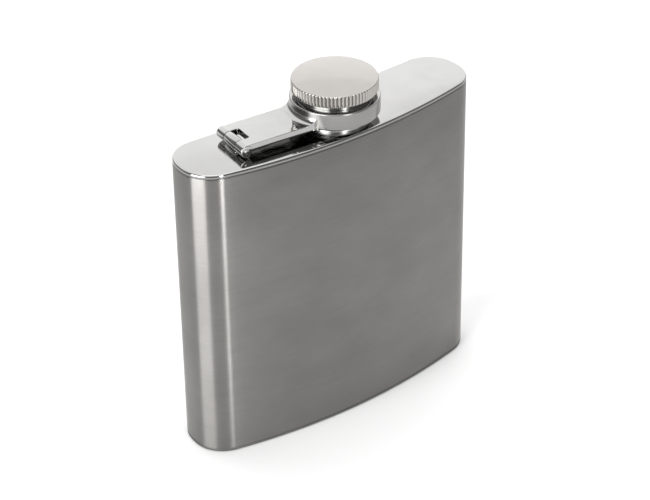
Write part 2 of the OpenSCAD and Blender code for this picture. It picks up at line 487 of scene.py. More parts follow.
class Nodes(Graph):
    """The nodes of one material, round a Principled shader."""

    def __init__(self, name: str) -> None:
        """Makes the material with its shader and its output.

        Args:
            name: the material's name.
        """
        self.material = bpy.data.materials.new(name)
        self.material.use_nodes = True
        super().__init__(self.material.node_tree)
        output = self.add("ShaderNodeOutputMaterial")
        self.shader = self.add("ShaderNodeBsdfPrincipled")
        self.link(self.shader.outputs["BSDF"], output.inputs["Surface"])

    def set(self, socket: str, value: float) -> None:
        """Sets a number on the shader."""
        self.shader.inputs[socket].default_value = value

    def place(self) -> Socket:
        """Coordinates of the object, in metres."""
        return self.add("ShaderNodeTexCoord").outputs["Object"]

    def noise(self, coords: Socket, scale: Sequence[float], detail: float) -> Socket:
        """Noise over coordinates that are stretched first.

        Args:
            coords: the coordinates, in metres.
            scale: features per metre along each axis.
            detail: octaves of finer noise.

        Returns:
            The noise value, about 0.5 on average.
        """
        mapping = self.add("ShaderNodeMapping")
        mapping.inputs["Scale"].default_value = scale
        self.link(coords, mapping.inputs["Vector"])
        noise = self.add("ShaderNodeTexNoise")
        noise.inputs["Scale"].default_value = 1.0
        noise.inputs["Detail"].default_value = detail
        noise.inputs["Roughness"].default_value = 0.6
        self.link(mapping.outputs["Vector"], noise.inputs["Vector"])
        return noise.outputs["Fac"]

    def spread(self, value: Socket, low: float, high: float, contrast: float = 0.25) -> Socket:
        """Maps the middle of a noise value onto a range; contrast is half the band used."""
        return self.ramp(value, (0.5 - contrast, low), (0.5 + contrast, high))

    def roughen(self, value: Socket) -> None:
        """Sets the roughness by a value."""
        self.link(value, self.shader.inputs["Roughness"])

    def bump(self, height: Socket, distance: float, strength: float) -> None:
        """Raises the surface by a height value.

        Args:
            height: the height value, 0 to 1.
            distance: what a height of 1 stands for, in metres.
            strength: share of the bump that is used.
        """
        bump = self.add("ShaderNodeBump")
        bump.inputs["Distance"].default_value = distance
        bump.inputs["Strength"].default_value = strength
        self.link(height, bump.inputs["Height"])
        self.link(bump.outputs["Normal"], self.shader.inputs["Normal"])


@dataclass(frozen=True)
class Finish:
    """A surface whose tone varies between a dark and a light colour."""

    name: str
    dark: Triple
    light: Triple

    @cache
    def material(self) -> Material:
        """Builds the material, once for all the pieces that share the finish.

        Returns:
            The material.
        """
        n = Nodes(self.name)
        mix = n.add("ShaderNodeMix", data_type="RGBA")
        mix.inputs[6].default_value = (*self.dark, 1)
        mix.inputs[7].default_value = (*self.light, 1)
        n.link(n.spread(self.paint(n), 0, 1, 0.2), mix.inputs[0])
        n.link(mix.outputs[2], n.shader.inputs["Base Color"])
        return n.material

    def paint(self, n: Nodes) -> Socket:
        """Adds the finish's own nodes, and returns the noise that tints it."""
        raise NotImplementedError


@dataclass(frozen=True)
class BrushedSteel(Finish):
    """Steel with fine lines that run along the sheet, on the piece's own UV map."""

    roughness: float = 0.36
    rough_band: float = 0.05
    line_gap: float = 0.15 * MM
    line_length: float = 9 * MM
    clouds: Triple = (45, 70, 1)

    def paint(self, n: Nodes) -> Socket:
        """Adds the lines, the clouding and the sheen across the lines.

        Args:
            n: the material's nodes.

        Returns:
            The noise that tints it.
        """
        uv = n.add("ShaderNodeUVMap", uv_map="brush").outputs["UV"]
        across, along = 1 / self.line_gap, 1 / self.line_length
        fine = n.noise(uv, (along, across, 1), 2)
        coarse = n.noise(uv, (along * 0.6, across * 0.28, 1), 3)
        cloud = n.noise(uv, self.clouds, 4)
        lines = n.math("ADD", n.math("MULTIPLY", fine, 0.4), n.math("MULTIPLY", coarse, 0.6))
        n.roughen(n.spread(lines, self.roughness - self.rough_band, self.roughness + self.rough_band))
        n.set("Metallic", 1)
        n.set("Anisotropic", 1)
        n.set("Anisotropic Rotation", 0.25)
        tangent = n.add("ShaderNodeTangent", direction_type="UV_MAP", uv_map="brush")
        n.link(tangent.outputs["Tangent"], n.shader.inputs["Tangent"])
        n.bump(lines, 0.004 * MM, 0.35)
        return n.math("ADD", n.math("MULTIPLY", lines, 0.5), n.math("MULTIPLY", cloud, 0.5))


@dataclass(frozen=True)
class PolishedSteel(Finish):
    """Bright polished steel with a slight waviness, haze and hairline scratches."""

    roughness: float = 0.06
    haze: float = 0.05
    wave: float = 0.01 * MM
    clouds: Triple = (90, 90, 90)
    scratches: Triple = (1500, 6500, 6500)
    ripples: Triple = (130, 130, 130)

    def paint(self, n: Nodes) -> Socket:
        """Adds the haze, the scratches and the waviness.

        Args:
            n: the material's nodes.

        Returns:
            The noise that tints it.
        """
        place = n.place()
        cloud = n.noise(place, self.clouds, 3)
        grain = n.noise(place, self.scratches, 2)
        ripple = n.noise(place, self.ripples, 1)
        rough = n.math("ADD", n.spread(cloud, 0, self.haze), n.spread(grain, 0, self.haze * 0.6))
        n.roughen(n.math("ADD", rough, self.roughness))
        n.set("Metallic", 1)
        n.bump(n.math("ADD", ripple, n.math("MULTIPLY", grain, 0.02)), self.wave, 1.0)
        return cloud


@dataclass(frozen=True)
class TurnedSteel(Finish):
    """Machined steel with fine rings left by the lathe, and darker marks from handling."""

    roughness: float = 0.28
    rings: Triple = (60, 60, 7000)
    marks: Triple = (240, 240, 240)

    def paint(self, n: Nodes) -> Socket:
        """Adds the rings and the marks.

        Args:
            n: the material's nodes.

        Returns:
            The noise that tints it.
        """
        place = n.place()
        rings = n.noise(place, self.rings, 2)
        n.roughen(n.spread(rings, self.roughness - 0.06, self.roughness + 0.08))
        n.set("Metallic", 1)
        n.bump(rings, 0.01 * MM, 0.5)
        return n.noise(place, self.marks, 3)


@dataclass(frozen=True)
class SoftLiner(Finish):
    """Moulded silicone, slightly cloudy."""

    roughness: float = 0.5
    clouds: Triple = (500, 500, 500)
    grain: Triple = (5000, 5000, 5000)

    def paint(self, n: Nodes) -> Socket:
        """Adds the clouding and the fine grain.

        Args:
            n: the material's nodes.

        Returns:
            The noise that tints it.
        """
        place = n.place()
        cloud = n.noise(place, self.clouds, 3)
        n.roughen(n.spread(cloud, self.roughness - 0.08, self.roughness + 0.08))
        n.set("Subsurface Weight", 0.2)
        n.set("Subsurface Scale", 1 * MM)
        n.bump(n.noise(place, self.grain, 1), 0.01 * MM, 0.4)
        return cloud


def finish_piece(
    piece: Piece, finish: Finish, body: str, slot: str, *nodes: str
) -> None:
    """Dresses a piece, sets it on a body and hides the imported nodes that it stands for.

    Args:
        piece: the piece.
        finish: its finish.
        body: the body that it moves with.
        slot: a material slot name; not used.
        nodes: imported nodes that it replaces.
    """
    piece.data.materials.clear()
    piece.data.materials.append(finish.material())
    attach(piece, body)
    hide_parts(*nodes)
    log.info("%s: %d faces, rides on %s", piece.name, len(piece.data.polygons), body)


def dress_part(piece: Piece, finish: Finish, test: Callable[[bpy.types.MeshPolygon], bool]) -> None:
    """Gives some faces of a dressed piece a finish of their own.

    Args:
        piece: the piece.
        finish: the other finish.
        test: says which faces have it.
    """
    piece.data.materials.append(finish.material())
    for polygon in piece.data.polygons:
        polygon.material_index = int(test(polygon))


# ---------------------------------------------------------------- the flask's body


@dataclass(frozen=True)
class Outline:
    """Plan of the body: convex front, hollow back, and two ends of three arcs each."""

    width: float = 94 * MM
    front_y: float = -11.85 * MM
    depth: float = 23.7 * MM
    front_r: float = 175 * MM
    back_r: float = 648 * MM
    end_r: float = 20.3 * MM
    end_back: float = 2.1 * MM
    front_corner_r: float = 9.6 * MM
    back_corner_r: float = 9.1 * MM
    long_steps: int = 20
    corner_steps: int = 26
    end_steps: int = 6

    @staticmethod
    def circles_meet(a: Vector, ra: float, b: Vector, rb: float) -> Vector:
        """The point at distance ra from a and rb from b, on the left of the way from a to b.

        Args:
            a: first centre.
            ra: distance from it.
            b: second centre.
            rb: distance from it.

        Returns:
            The point.
        """
        gap = (b - a).length
        ahead = (b - a) / gap
        along = (ra * ra - rb * rb + gap * gap) / (2 * gap)
        off = math.sqrt(ra * ra - along * along)
        return a + ahead * along - Vector((ahead.y, -ahead.x)) * off

    def points(self, inset: float = 0.0) -> list[Point]:
        """Corners of the outline, moved inwards.

        Args:
            inset: how far inwards, in metres.

        Returns:
            The points, from the middle of the back, past the left end, the front and the right end.
        """
        middle = self.front_y + self.depth / 2
        front_c = Vector((0, self.front_y + self.front_r))
        back_c = Vector((0, middle + self.depth / 2 + self.back_r))
        end_c = Vector((self.width / 2 - self.end_r, middle + self.end_back))
        front_corner = self.circles_meet(
            front_c, self.front_r - self.front_corner_r, end_c, self.end_r - self.front_corner_r
        )
        back_corner = self.circles_meet(
            back_c, self.back_r + self.back_corner_r, end_c, self.end_r - self.back_corner_r
        )
        heads = [
            self.heading(front_corner - front_c),
            self.heading(front_corner - end_c),
            self.heading(back_corner - end_c),
            self.heading(back_c - back_corner),
            self.heading(back_corner - back_c),
        ]
        half = arc_points(front_c, self.front_r - inset, -90, heads[0], self.long_steps)
        tight = self.corner_steps
        half += arc_points(front_corner, self.front_corner_r - inset, heads[0], heads[1], tight)[1:]
        half += arc_points(end_c, self.end_r - inset, heads[1], heads[2], self.end_steps)[1:]
        half += arc_points(back_corner, self.back_corner_r - inset, heads[2], heads[3], tight)[1:]
        half += arc_points(back_c, self.back_r + inset, heads[4], -90, self.long_steps)[1:]
        left = [(-x, y) for x, y in reversed(half[1:-1])]
        return [half[-1], *left, *half[:-1]]

    @staticmethod
    def heading(vector: Vector) -> float:
        """Angle of a flat vector from +X, in degrees."""
        return math.degrees(math.atan2(vector.y, vector.x))

    def ring(self, inset: float, height: float) -> list[Vector]:
        """The outline as a level ring, moved inwards."""
        return [Vector((x, y, height)) for x, y in self.points(inset)]

    def hole_ring(self, centre: Vector, radius: float, height: float) -> list[Vector]:
        """A round ring with one point for each point of the outline.

        Args:
            centre: the hole's centre.
            radius: its radius.
            height: its height.

        Returns:
            The ring's points.
        """
        flat = Vector((centre.x, centre.y))
        spokes = [(Vector(p) - flat).normalized() * radius + flat for p in self.points()]
        return [Vector((p.x, p.y, height)) for p in spokes]


def lofted(rings: Sequence[Sequence[Vector]], close: bool) -> Piece:
    """Extrudes a ring from level to level, and brushes a UV map on: u round it, v up it.

    Args:
        rings: the rings, each with the same number of points.
        close: joins the last ring to the first, and otherwise fills both.

    Returns:
        The new closed mesh.
    """
    piece = loop_primitive(rings[0])
    mesh = piece.data
    column = mesh.attributes.new("column", "INT", "POINT")
    for i, item in enumerate(column.data):
        item.value = i
    if not close:
        edit_all(piece, face)
    work_on(piece)
    for vertex in mesh.vertices:
        vertex.select = True
    for ring in rings[1:]:
        enter("EDIT")
        bpy.ops.mesh.select_mode(type="VERT")
        bpy.ops.mesh.extrude_edges_move()
        enter("OBJECT")
        columns = mesh.attributes["column"].data
        for vertex in mesh.vertices:
            if vertex.select:
                vertex.co = ring[columns[vertex.index].value]
    enter("EDIT")
    if not close:
        face()
    enter("OBJECT")
    if close:
        count = len(rings[0])
        last = [vertex.select for vertex in mesh.vertices]
        for vertex in mesh.vertices:
            vertex.select = last[vertex.index] or vertex.index < count
        for edge in mesh.edges:
            ends = [last[i] for i in edge.vertices]
            firsts = [i < count for i in edge.vertices]
            edge.select = all(ends) or all(firsts)
        enter("EDIT")
        bpy.ops.mesh.select_mode(type="EDGE")
        bpy.ops.mesh.bridge_edge_loops()
        enter("OBJECT")
    edit_all(piece, face_out)
    brush_uv(piece, rings[0])
    return piece


def brush_uv(piece: Piece, ring: Sequence[Vector]) -> None:
    """Lays a UV map in metres: u is the way round the ring, v is the height.

    Args:
        piece: a mesh with a "column" attribute.
        ring: the ring whose length is measured.
    """
    mesh = piece.data
    run = [0.0]
    for here, there in zip(ring, list(ring[1:]) + [ring[0]]):
        run.append(run[-1] + (there - here).length)
    total = run[-1]
    uv = mesh.uv_layers.new(name="brush")
    columns = [item.value for item in mesh.attributes["column"].data]
    for face in mesh.polygons:
        places = [run[columns[mesh.loops[i].vertex_index]] for i in face.loop_indices]
        wraps = max(places) - min(places) > total / 2
        for i, place in zip(face.loop_indices, places):
            height = mesh.vertices[mesh.loops[i].vertex_index].co.z
            shift = total if wraps and place < total / 2 else 0
            uv.data[i].uv = (place + shift, height)


@dataclass
class FlaskBody:
    """The wrapped shell and the two pressed plates."""

    datum: Datum
    outline: Outline
    shell_t: float = 0.6 * MM
    plate_t: float = 0.8 * MM
    top_rim_h: float = 1.3 * MM
    base_rim_h: float = 1.1 * MM
    rim_r: float = 0.75 * MM
    seam: float = 0.22 * MM
    flange_h: float = 3 * MM
    flange_fit: float = 0.02 * MM
    hole_r: float = 7.93 * MM
    hole_edge: float = 1 * MM
    edge: float = 0.3 * MM
    rim_steps: int = 6
    brushed: Finish = BrushedSteel("brushed_steel", (0.21, 0.205, 0.197), (0.285, 0.278, 0.267))
    polished: Finish = PolishedSteel("polished_plate", (0.375, 0.373, 0.368), (0.405, 0.403, 0.398))
    # A darker copy of the plate's steel, laid on the rim's steep faces: its darker colour is painted
    # shade.
    rim_painted_shade: Finish = PolishedSteel("rim_steel_painted_shade", (0.22, 0.218, 0.213), (0.27, 0.267, 0.261), 0.16, 0.06)
    satin: Finish = PolishedSteel("satin_base", (0.17, 0.17, 0.165), (0.22, 0.22, 0.21), 0.3, 0.1)

    def shell(self) -> None:
        """The brushed tube, with its two cut edges slightly rounded."""
        low = self.base_rim_h
        high = self.datum.plate_z - self.top_rim_h
        ease = self.edge
        ring = self.outline.ring
        outer = [
            ring(ease, low), ring(ease * 0.3, low + ease * 0.3), ring(0, low + ease),
            ring(0, low + (high - low) * 0.33), ring(0, low + (high - low) * 0.67),
            ring(0, high - ease), ring(ease * 0.3, high - ease * 0.3), ring(ease, high),
        ]
        inner = [ring(self.shell_t, high), ring(self.shell_t, low)]
        shell = tidy(lofted(outer + inner, close=True), "shell", 50)
        finish_piece(shell, self.brushed, "flask", "brushed_shell", "body_shell")

    def rim(self, level: float, up: int) -> list[list[Vector]]:
        """Rings of a curled rim, from the seam to the flat face.

        Args:
            level: height of the flat face.
            up: 1 when the face looks up, -1 when it looks down.

        Returns:
            The rings.
        """
        rings = []
        for i in range(self.rim_steps + 1):
            t = math.pi / 2 * i / self.rim_steps
            inset = self.rim_r * (1 - math.cos(t))
            drop = self.rim_r * (1 - math.sin(t))
            rings.append(self.outline.ring(inset, level - up * drop))
        return rings

    def plate(self, level: float, up: int, rim_h: float) -> list[list[Vector]]:
        """Rings of a pressed plate from inside its flange, under the seam and up to the flat face.

        Args:
            level: height of the flat face.
            up: 1 when the face looks up, -1 when it looks down.
            rim_h: height of the rim above the seam.

        Returns:
            The rings.
        """
        ring = self.outline.ring
        seam = level - up * rim_h
        flange = self.shell_t + self.flange_fit
        inside = flange + self.plate_t
        deep = seam - up * self.flange_h
        return [
            ring(inside, level - up * self.plate_t),
            ring(inside, deep),
            ring(flange, deep),
            ring(flange, seam),
            ring(self.seam, seam),
            ring(0, seam + up * self.seam),
            *self.rim(level, up),
        ]

    def top_plate(self) -> None:
        """The polished top plate, with a curled rim and the hole that the neck is welded into; the rim's
        steep faces carry a darker copy of the steel as painted shade.
        """
        level, neck = self.datum.plate_z, self.datum.neck
        rings = self.plate(level, 1, self.top_rim_h)
        rings += [
            self.outline.hole_ring(neck, self.hole_r + self.hole_edge, level),
            self.outline.hole_ring(neck, self.hole_r, level),
            self.outline.hole_ring(neck, self.hole_r, level - self.plate_t),
        ]
        top = tidy(lofted(rings, close=True), "plate_top", 30)
        finish_piece(top, self.polished, "flask", "polished_plate", "top_plate")
        # Painted shade: faces that look neither up nor down take the darker copy of the steel.
        dress_part(top, self.rim_painted_shade, lambda polygon: abs(polygon.normal.z) < 0.35)

    def base_plate(self) -> None:
        """The base plate that the flask stands on."""
        base = tidy(lofted(self.plate(0.0, -1, self.base_rim_h), close=False), "plate_base", 30)
        finish_piece(base, self.satin, "flask", "polished_plate", "base_plate")

    def build(self) -> None:
        """Makes and dresses the three pieces."""
        self.shell()
        self.top_plate()
        self.base_plate()


# ---------------------------------------------------------------- neck and hinge


@dataclass
class NeckFitting:
    """Turned filler neck, welded into the plate, with its outside thread."""

    datum: Datum
    barrel_r: float = 7.6 * MM
    bore_r: float = 6.5 * MM
    lip_z: float = 8.35 * MM
    flange_r: float = 9.6 * MM
    flange_t: float = 0.9 * MM
    spigot_r: float = 7.9 * MM
    spigot_low: float = -2 * MM
    ease: float = 0.25 * MM
    rib: float = 0.4 * MM
    rib_foot: float = 0.2 * MM
    rib_low: float = 3.9 * MM
    pitch: float = 1.6 * MM
    turns: float = 2.4
    steel: Finish = TurnedSteel("neck_steel", (0.4, 0.4, 0.39), (0.48, 0.48, 0.47))

    def barrel(self) -> Piece:
        """Spins the barrel with its weld flange, spigot and rounded lip.

        Returns:
            The mesh.
        """
        e = self.ease
        profile = [(self.bore_r, self.spigot_low), (self.spigot_r, self.spigot_low), (self.spigot_r, 0)]
        profile += [(self.flange_r, 0)]
        profile += arc_points((self.flange_r - e, self.flange_t - e), e, 0, 90, 4)
        profile += arc_points((self.barrel_r + e, self.flange_t + e), e, 270, 180, 4)
        profile += arc_points((self.barrel_r - e, self.lip_z - e), e, 0, 90, 5)
        profile += arc_points((self.bore_r + e, self.lip_z - e), e, 90, 180, 5)
        return turned(profile, self.datum.neck, 128)

    def build(self) -> None:
        """Makes and dresses the neck."""
        barrel = self.barrel()
        rib = helix_rib(
            self.datum.neck, self.barrel_r - self.rib_foot, self.barrel_r + self.rib,
            self.rib_low, self.pitch, self.turns,
        )
        combine(barrel, rib, Join.UNITE)
        finish_piece(tidy(barrel, "neck_threaded", 35), self.steel, "flask", "neck_steel", "neck")


@dataclass
class Hinge:
    """Bracket curled round the pin, and the pin."""

    datum: Datum
    pin_r: float = 0.7 * MM
    pin_l: float = 13.6 * MM
    pin_edge: float = 0.22 * MM
    curl_r: float = 1.75 * MM
    strip_t: float = 0.7 * MM
    strip_w: float = 5.5 * MM
    foot_back: float = 1.4 * MM
    foot_ahead: float = 9 * MM
    weld_r: float = 0.75 * MM
    weld_depth: float = 0.12 * MM
    welds: Point = (3.6 * MM, 6.6 * MM)
    press_fit: float = 0.01 * MM
    tip_r: float = 0.3 * MM
    edge: float = 0.1 * MM
    steel: Finish = PolishedSteel("hinge_steel", (0.33, 0.33, 0.32), (0.38, 0.38, 0.37), 0.1, 0.06)

    def bracket(self) -> Piece:
        """Extrudes the bent strip, bores it for the pin and presses two spot welds in.

        Returns:
            The piece.
        """
        pin = self.datum.pin
        drop = pin.z - self.datum.plate_z
        level = self.strip_t - drop
        reach = math.sqrt(self.curl_r ** 2 - level ** 2)
        start = math.degrees(math.atan2(level, reach))
        curl = arc_points((0, 0), self.curl_r, start, 180 - start, 48)
        tip = arc_points((self.foot_ahead - self.tip_r, level - self.tip_r), self.tip_r, 0, 90, 4)
        back, ahead = -self.foot_back, self.foot_ahead
        line = [(back, -drop), (ahead, -drop), *tip, *curl, (back, level)]
        side = [Vector((pin.x + x, pin.y - self.strip_w / 2, pin.z + z)) for x, z in line]
        strip = extruded(side, Vector((0, self.strip_w, 0)))
        combine(strip, rod(pin, self.pin_r + self.press_fit, 2 * self.strip_w, 0.1 * MM), Join.CUT)
        flat, over = -self.weld_depth, 0.1 * MM
        for ahead in self.welds:
            spot = Vector((pin.x + ahead, pin.y, self.datum.plate_z + self.strip_t))
            press = turned(
                [(0, flat), (self.weld_r * 0.7, flat), (self.weld_r, over), (0, over)], spot, 32
            )
            combine(strip, press, Join.CUT)
        soften(strip, self.edge, 2, 50)
        return tidy(strip, "bracket_curled", 35)

    def build(self) -> None:
        """Makes and dresses the bracket and the pin."""
        bracket = self.bracket()
        pin = rod(self.datum.pin, self.pin_r, self.pin_l, self.pin_edge, 64)
        for piece in (bracket, pin):
            turn_level(piece, self.datum.neck, self.datum.arm_turn)
        finish_piece(bracket, self.steel, "flask", "hinge_steel", "hinge_bracket")
        finish_piece(tidy(pin, "pin_domed", 35), self.steel, "flask", "hinge_steel", "hinge_pin")


# ---------------------------------------------------------------- arm and cap


@dataclass
class Arm:
    """Strap with a forked end that turns on the pin, and the collar that holds the cap."""

    datum: Datum
    length: float = 31.6 * MM
    width: float = 13.2 * MM
    low: float = 2.1 * MM
    top: float = 3.95 * MM
    skin: float = 0.9 * MM
    side: float = 1.1 * MM
    edge: float = 0.2 * MM
    under_edge: float = 0.08 * MM
    draft: float = 0.16 * MM
    draft_start: float = 0.55 * MM
    knuckle_r: float = 1.75 * MM
    knuckle_edge: float = 0.25 * MM
    pin_hole_r: float = 0.75 * MM
    fork_w: float = 5.9 * MM
    fork_l: float = 3.1 * MM
    pocket_r: float = 0.55 * MM
    flare_r: float = 2 * MM
    web_r: float = 2 * MM
    collar_r: float = 12.4 * MM
    bore_r: float = 11.3 * MM
    collar_low: float = 2.45 * MM
    collar_top: float = 7.3 * MM
    collar_edge: float = 0.35 * MM
    lip_r: float = 10.35 * MM
    lip_t: float = 0.9 * MM
    mouth_ease: float = 0.15 * MM
    chrome: Finish = PolishedSteel("polished_arm", (0.36, 0.358, 0.352), (0.4, 0.398, 0.39), 0.05, 0.03)
    # The collar's side faces get a darker copy of the arm's steel as painted shade; the higher roughness
    # stands for the lathe's finish.
    wall: Finish = PolishedSteel("collar_painted_shade", (0.23, 0.227, 0.222), (0.28, 0.277, 0.271), 0.2, 0.05)

    def outline(self, inset: float = 0.0) -> list[Point]:
        """Plan of the strap, flaring out to the collar.

        Args:
            inset: how far inwards its sides are moved.

        Returns:
            Its corners, from the collar's axis.
        """
        half = self.width / 2
        reach = self.collar_r + self.flare_r
        centre = (-math.sqrt(reach ** 2 - (half + self.flare_r) ** 2), half + self.flare_r)
        last = math.degrees(math.atan2(-centre[1], -centre[0]))
        flare = arc_points(centre, self.flare_r + inset, -90, last, 12)
        edge = [(-self.length, half - inset), *flare, (0, half - inset)]
        return edge + [(x, -y) for x, y in reversed(edge)]

    def drafted_strap(self) -> Piece:
        """Extrudes the strap with sides that lean in towards a rounded top edge.

        Returns:
            The mesh.
        """
        neck, e = self.datum.neck, self.edge
        levels = [(self.under_edge, self.low), (0, self.low + self.under_edge)]
        levels += [(0, self.low + self.draft_start)]
        levels += [
            (self.draft + e * (1 - math.cos(t)), self.top - e * (1 - math.sin(t)))
            for t in (math.pi / 2 * i / 4 for i in range(5))
        ]
        rings = [
            [Vector((neck.x + x, neck.y + y, neck.z + height)) for x, y in self.outline(inset)]
            for inset, height in levels
        ]
        return lofted(rings, close=False)

    def strap(self, low: float, high: float) -> Piece:
        """Extrudes the plan between two heights.

        Args:
            low: lower height.
            high: upper height.

        Returns:
            The mesh.
        """
        neck = self.datum.neck
        ring = [Vector((neck.x + x, neck.y + y, neck.z + low)) for x, y in self.outline()]
        return extruded(ring, Vector((0, 0, high - low)))

    def web(self) -> Piece:
        """Concave fillet between the strap's top and the collar's wall.

        Returns:
            The mesh.
        """
        inner = self.collar_r - 0.5 * MM
        curve = arc_points((self.collar_r + self.web_r, self.top + self.web_r), self.web_r, 180, 270, 14)
        below = self.top - 0.5 * MM
        outer = self.collar_r + self.web_r
        profile = [(inner, self.top + self.web_r), *curve, (outer, below), (inner, below)]
        web = turned(profile, self.datum.neck, 180)
        combine(web, self.strap(below - 0.1 * MM, self.top + self.web_r + 1 * MM), Join.KEEP_COMMON)
        return web

    def collar(self) -> Piece:
        """Spins the collar's wall with rounded outer edges.

        Returns:
            The mesh.
        """
        e = self.collar_edge
        inner = self.lip_r - 0.3 * MM
        profile = [(inner, self.collar_low)]
        profile += arc_points((self.collar_r - e, self.collar_low + e), e, -90, 0, 6)
        profile += arc_points((self.collar_r - e, self.collar_top - e), e, 0, 90, 6)
        profile += [(inner, self.collar_top)]
        return turned(profile, self.datum.neck, 180)

    def bore(self) -> Piece:
        """The space inside the collar, narrow at its lip and eased at both mouths.

        Returns:
            The mesh of that space.
        """
        lip_low = self.collar_top - self.lip_t
        ease = self.mouth_ease
        profile = [
            (0, 0.5 * MM), (self.bore_r + ease, 0.5 * MM), (self.bore_r + ease, self.collar_low),
            (self.bore_r, self.collar_low + ease), (self.bore_r, lip_low), (self.lip_r, lip_low),
            (self.lip_r, self.collar_top - ease), (self.lip_r + ease, self.collar_top),
            (self.lip_r + ease, self.collar_top + 1 * MM), (0, self.collar_top + 1 * MM),
        ]
        return turned(profile, self.datum.neck, 180)

    def slot(self, start: float, end: float, width: float, low: float, high: float) -> Piece:
        """A pocket with rounded corners, cut from the strap.

        Args:
            start: nearest to the pin, from the collar's axis.
            end: farthest from the pin.
            width: its width.
            low: lower height.
            high: upper height.

        Returns:
            The mesh of the pocket.
        """
        half, r = width / 2, self.pocket_r
        line = rounded_line([(start, -half, r), (end, -half, r), (end, half, r), (start, half, r)], 5)
        neck = self.datum.neck
        ring = [Vector((neck.x + x, neck.y + y, neck.z + low)) for x, y in line]
        return extruded(ring, Vector((0, 0, high - low)))

    def on_wall(self, polygon: bpy.types.MeshPolygon) -> bool:
        """Whether a face of the finished arm is on the collar's turned wall, which takes the painted
        shade.
        """
        neck = self.datum.neck
        out = math.hypot(polygon.center.x - neck.x, polygon.center.y - neck.y)
        return abs(polygon.normal.z) < 0.9 and abs(out - self.collar_r) < 0.3 * MM

    def build(self) -> None:
        """Makes and dresses the arm."""
        pin = self.datum.pin
        arm = self.drafted_strap()
        combine(arm, rod(pin, self.knuckle_r, self.width, self.knuckle_edge, 72), Join.UNITE)
        combine(arm, self.web(), Join.UNITE)
        combine(arm, self.collar(), Join.UNITE)
        combine(arm, self.bore(), Join.CUT)
        back = -self.length - self.knuckle_r - 2 * MM
        fork_end = -self.length + self.fork_l
        combine(arm, self.slot(back, fork_end, self.fork_w, -0.5 * MM, self.collar_top), Join.CUT)
        hollow = (fork_end + self.side, -self.collar_r - self.side, self.width - 2 * self.side)
        combine(arm, self.slot(*hollow, 0, self.top - self.skin), Join.CUT)
        combine(arm, rod(pin, self.pin_hole_r, 2 * self.width, 0.1 * MM), Join.CUT)
        turn_level(arm, self.datum.neck, self.datum.arm_turn)
        finish_piece(tidy(arm, "arm_forked", 32), self.chrome, "arm", "polished_arm", "arm")
        # Painted shade: the collar's side faces take the darker copy of the steel.
        dress_part(arm, self.wall, self.on_wall)


